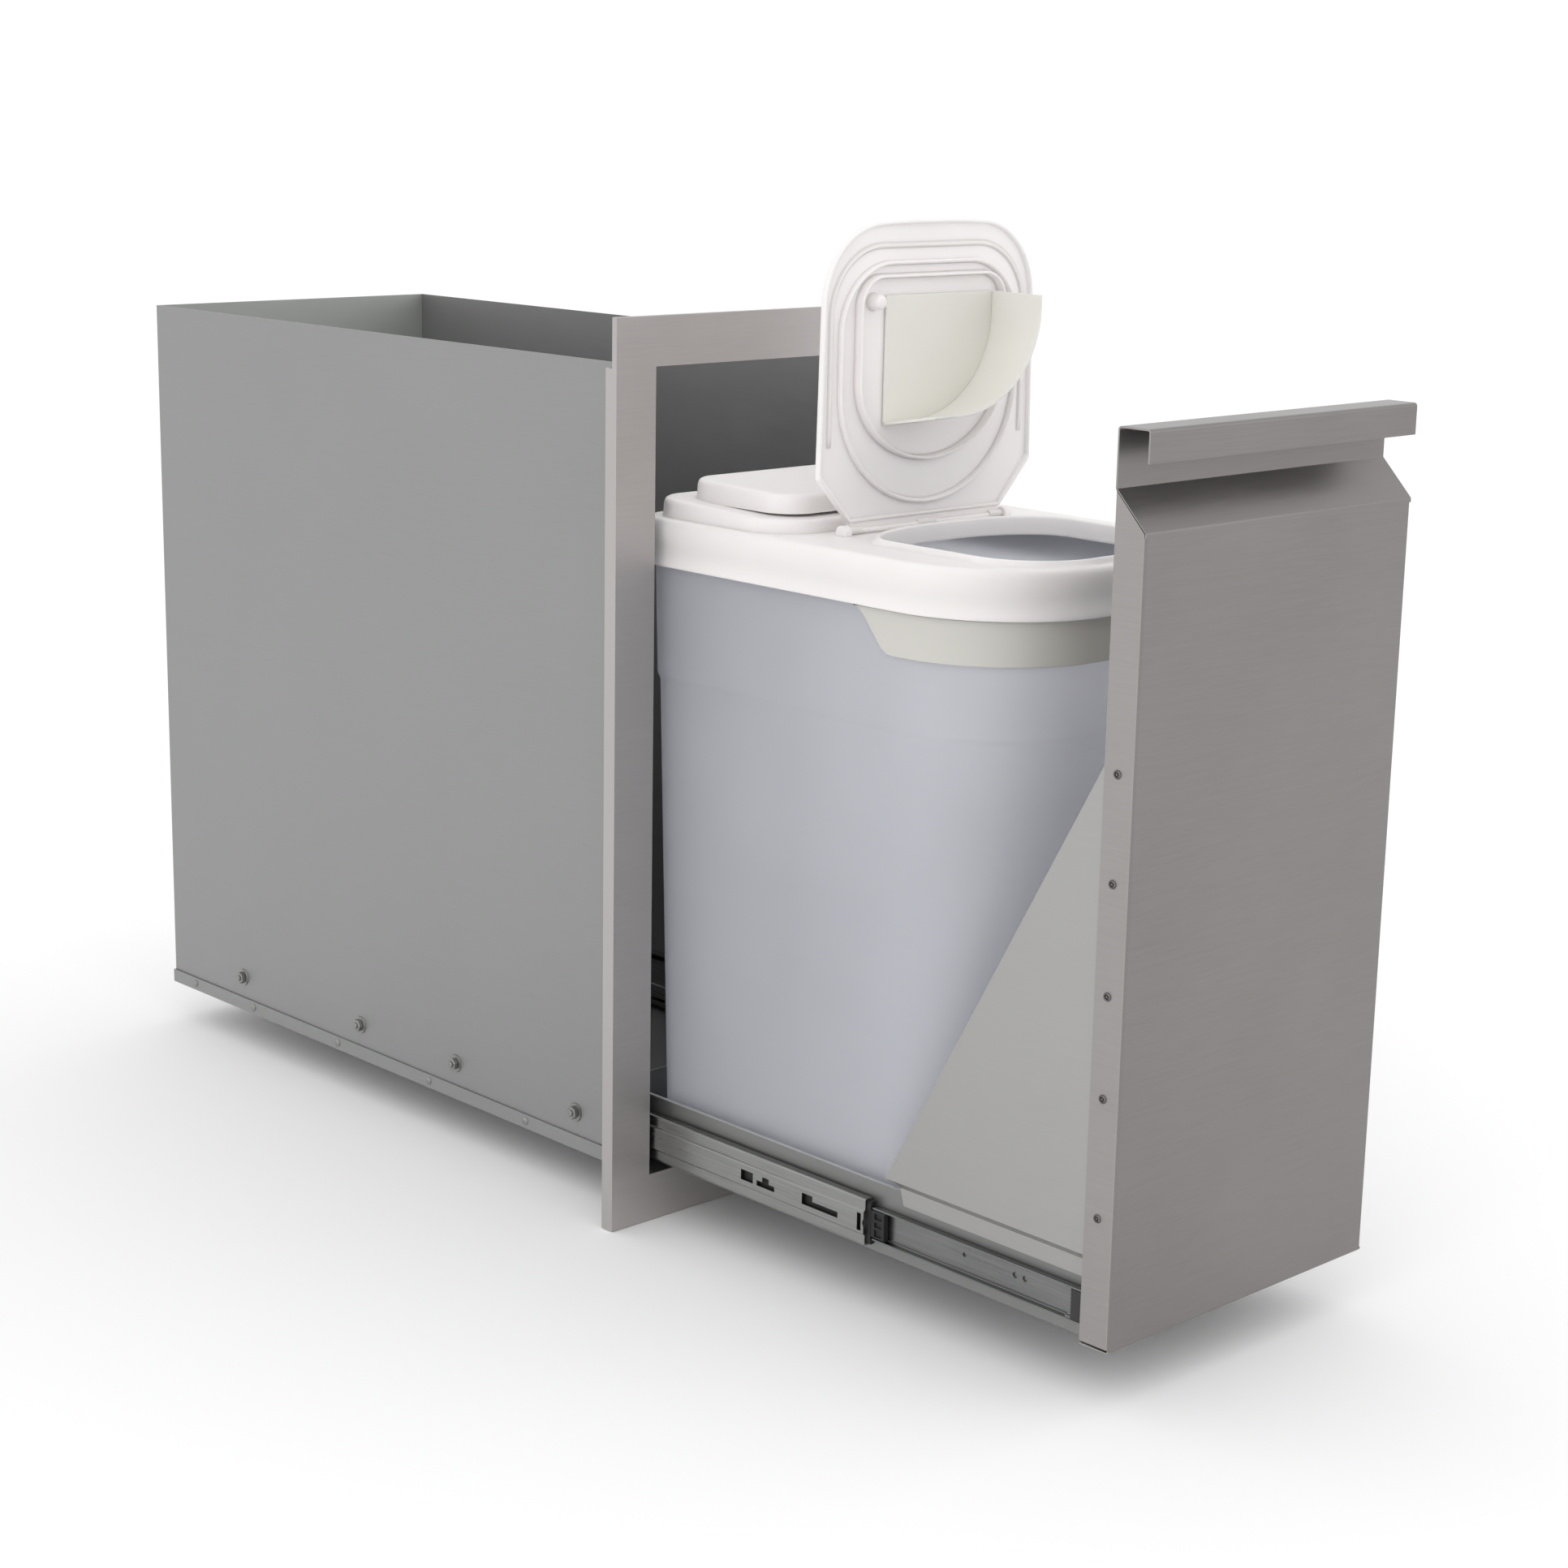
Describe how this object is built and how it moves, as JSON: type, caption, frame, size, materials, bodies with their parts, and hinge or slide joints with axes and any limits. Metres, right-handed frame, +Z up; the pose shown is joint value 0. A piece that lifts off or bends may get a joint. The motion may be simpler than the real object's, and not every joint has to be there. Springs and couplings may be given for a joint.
{
  "type": "pull-out waste bin drawer with enclosure",
  "caption": "Built-in pull-out waste bin: steel enclosure with face frame, drawer on ball-bearing slides, plastic bin with a flip lid and scoop.",
  "frame": {"origin": "middle of the bottom rail's rear seating face, the face that lies on the cabinet front", "axes": "+X to the right seen from the front, +Y from the front into the cabinet, +Z up; the drawer opens towards -Y"},
  "size_m": [0.358, 1.1205, 0.7575],
  "materials": {
    "brushed_sheet": "fine level brushing, satin",
    "plated_sheet": "matt plated sheet",
    "zinc_parts": "zinc plated, satin",
    "retainer_plastic": "matt",
    "stop_rubber": "matt",
    "bin_plastic": "fine grain",
    "cream_plastic": "satin",
    "white_plastic": "soft gloss"
  },
  "bodies": {
    "enclosure": {"face_frame": "brushed_sheet", "side_wall_right": "plated_sheet", "side_wall_left": "plated_sheet", "back_wall": "plated_sheet", "base_pan": "plated_sheet", "slide_outer_right": "zinc_parts", "slide_outer_left": "zinc_parts", "slide_bolt_1_right": "zinc_parts", "slide_bolt_1_left": "zinc_parts", "slide_bolt_2_right": "zinc_parts", "slide_bolt_2_left": "zinc_parts", "slide_bolt_3_right": "zinc_parts", "slide_bolt_3_left": "zinc_parts", "slide_bolt_4_right": "zinc_parts", "slide_bolt_4_left": "zinc_parts", "pan_screw_1_right": "zinc_parts", "pan_screw_1_left": "zinc_parts", "pan_screw_2_right": "zinc_parts", "pan_screw_2_left": "zinc_parts", "pan_screw_3_right": "zinc_parts", "pan_screw_3_left": "zinc_parts", "pan_screw_4_right": "zinc_parts", "pan_screw_4_left": "zinc_parts", "pan_screw_5_right": "zinc_parts", "pan_screw_5_left": "zinc_parts"},
    "drawer": {"drawer_front": "brushed_sheet", "tray": "plated_sheet", "gusset_right": "plated_sheet", "gusset_left": "plated_sheet", "slide_inner_right": "zinc_parts", "slide_inner_left": "zinc_parts", "slide_bumper_right": "stop_rubber", "slide_bumper_left": "stop_rubber", "front_rivet_1_right": "zinc_parts", "front_rivet_1_left": "zinc_parts", "front_rivet_2_right": "zinc_parts", "front_rivet_2_left": "zinc_parts", "front_rivet_3_right": "zinc_parts", "front_rivet_3_left": "zinc_parts", "front_rivet_4_right": "zinc_parts", "front_rivet_4_left": "zinc_parts", "front_rivet_5_right": "zinc_parts", "front_rivet_5_left": "zinc_parts"},
    "slide_middles": {"slide_middle_right": "zinc_parts", "slide_middle_left": "zinc_parts"},
    "outer_cages": {"outer_cage_right": "zinc_parts", "outer_cage_left": "zinc_parts"},
    "inner_cages": {"inner_cage_right": "retainer_plastic", "inner_cage_left": "retainer_plastic"},
    "bin": {"bin": "bin_plastic", "bin_grip": "cream_plastic"},
    "lid": {"lid": "white_plastic"},
    "flap": {"flap": "white_plastic"},
    "scoop": {"scoop": "cream_plastic"}
  },
  "joints": [
    {"name": "drawer_slide", "type": "slide", "parent": "enclosure", "child": "drawer", "axis": [0, 1, 0], "range_m": [-0.1, 0.455]},
    {"name": "middle_slide", "type": "slide", "parent": "enclosure", "child": "slide_middles", "axis": [0, 1, 0], "range_m": [-0.06, 0.26]},
    {"name": "outer_cage_slide", "type": "slide", "parent": "enclosure", "child": "outer_cages", "axis": [0, 1, 0], "range_m": [-0.03, 0.13]},
    {"name": "inner_cage_slide", "type": "slide", "parent": "enclosure", "child": "inner_cages", "axis": [0, 1, 0], "range_m": [-0.08, 0.36]},
    {"name": "bin_lift", "type": "slide", "parent": "drawer", "child": "bin", "axis": [0, -0.4691, 0.8832], "range_m": [0, 0.2]},
    {"name": "lid_lift", "type": "slide", "parent": "bin", "child": "lid", "axis": [0, 0, 1], "range_m": [0, 0.06]},
    {"name": "flap_hinge", "type": "hinge", "parent": "lid", "child": "flap", "pos_m": [0, -0.147, 0.523], "axis": [1, 0, 0], "range_deg": [-20, 90.2]},
    {"name": "scoop_pull", "type": "slide", "parent": "flap", "child": "scoop", "axis": [0, -1, 0], "range_m": [0, 0.05]}
  ],
  "couplings": [
    {"joint": "middle_slide", "follows": "drawer_slide", "ratio": 0.56},
    {"joint": "outer_cage_slide", "follows": "drawer_slide", "ratio": 0.28},
    {"joint": "inner_cage_slide", "follows": "drawer_slide", "ratio": 0.78},
    {"joint": "flap_hinge", "follows": "drawer_slide", "rad_per_m": 3.452}
  ]
}
